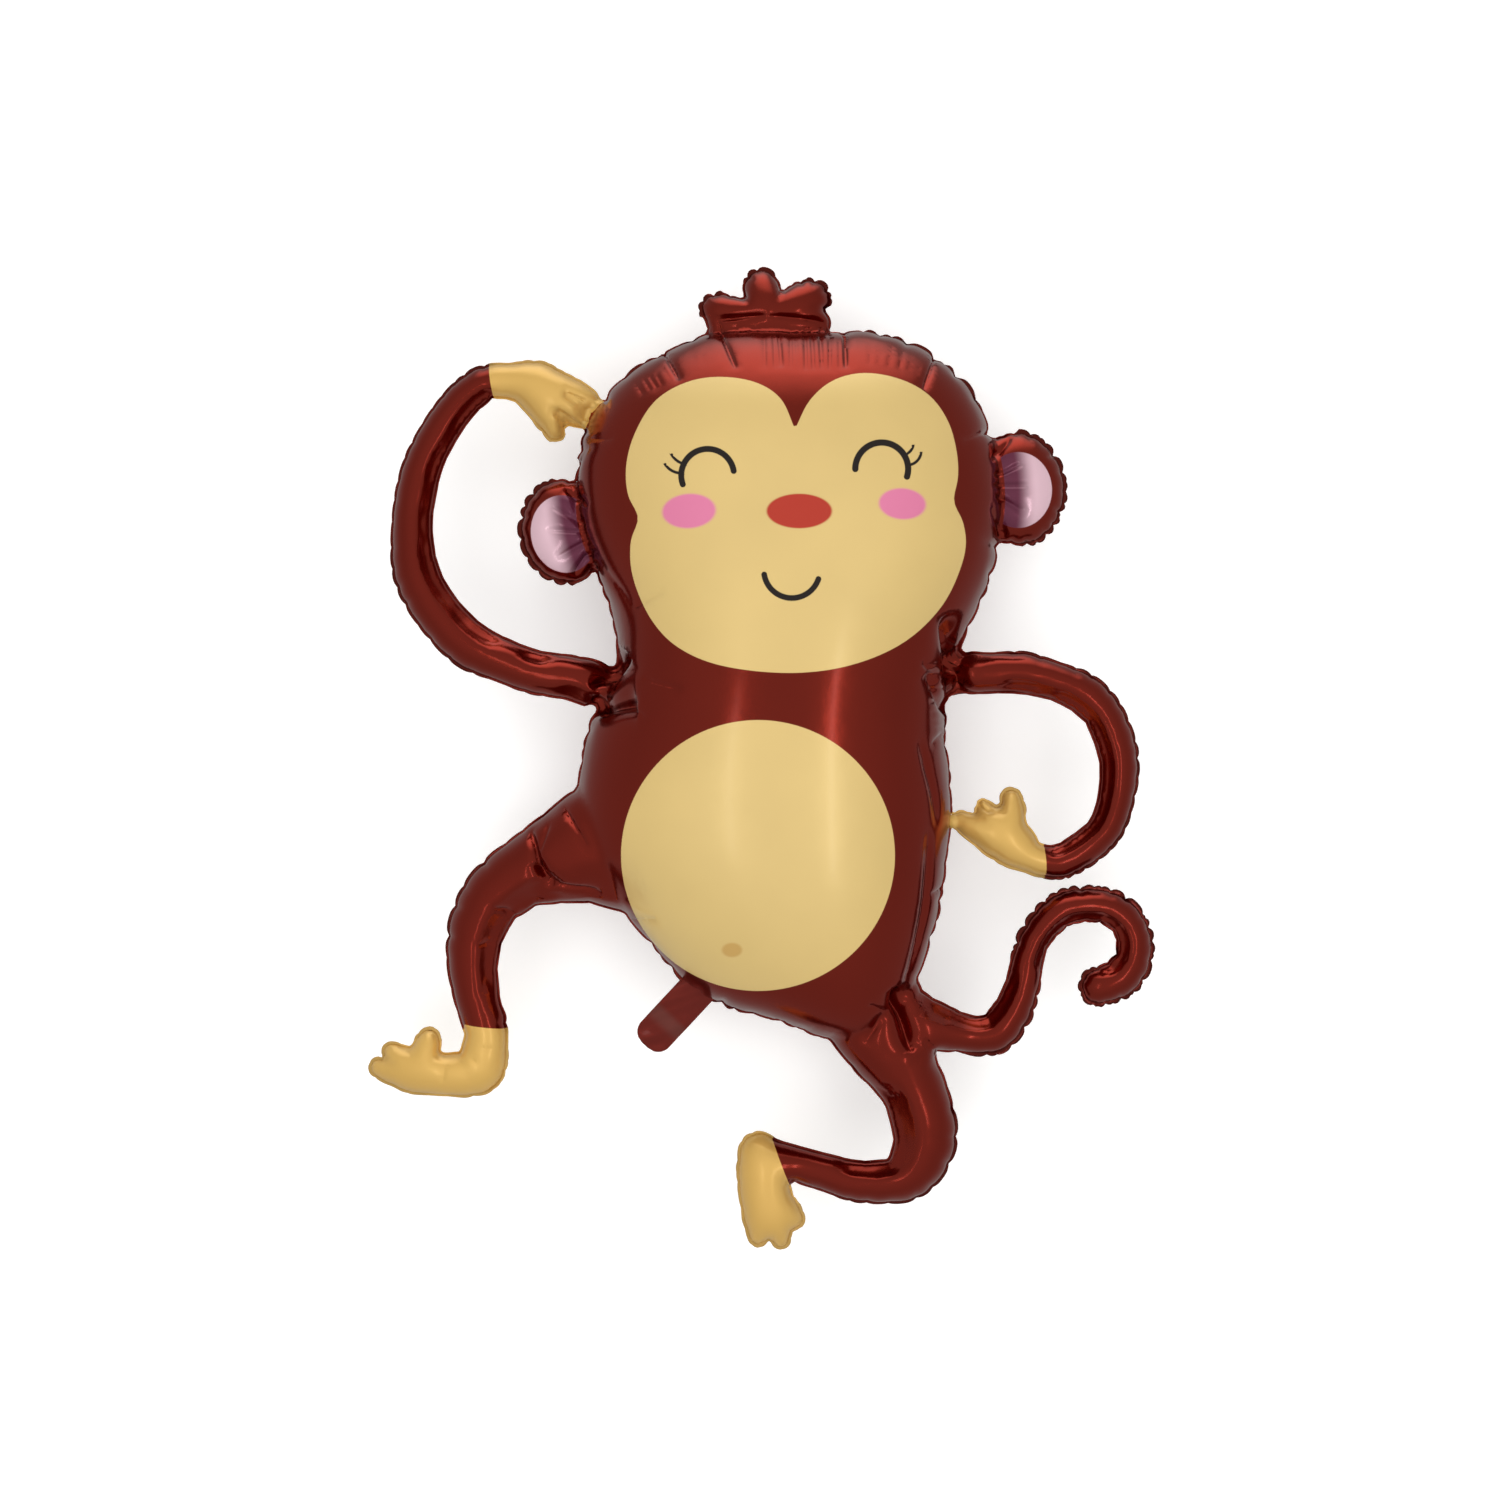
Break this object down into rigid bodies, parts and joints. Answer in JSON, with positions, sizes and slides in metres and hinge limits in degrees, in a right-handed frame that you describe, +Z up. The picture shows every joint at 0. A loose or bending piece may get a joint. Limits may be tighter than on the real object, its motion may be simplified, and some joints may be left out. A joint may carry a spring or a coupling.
{
  "type": "foil balloon",
  "caption": "Air-filled foil balloon in the shape of a dancing monkey with a smiling printed face, lying on its back, with a flat welded seam and a filling neck.",
  "frame": {"origin": "on the floor under the middle of the lying balloon's box", "axes": "+Y towards the crown of the head, +Z up out of the printed face, +X towards the side with the tail"},
  "size_m": [0.794, 0.984, 0.2639],
  "materials": {
    "printed_foil": "high-gloss lacquer over metallised polyester film"
  },
  "bodies": {
    "root": {"monkey_balloon": "printed_foil"}
  },
  "joints": []
}
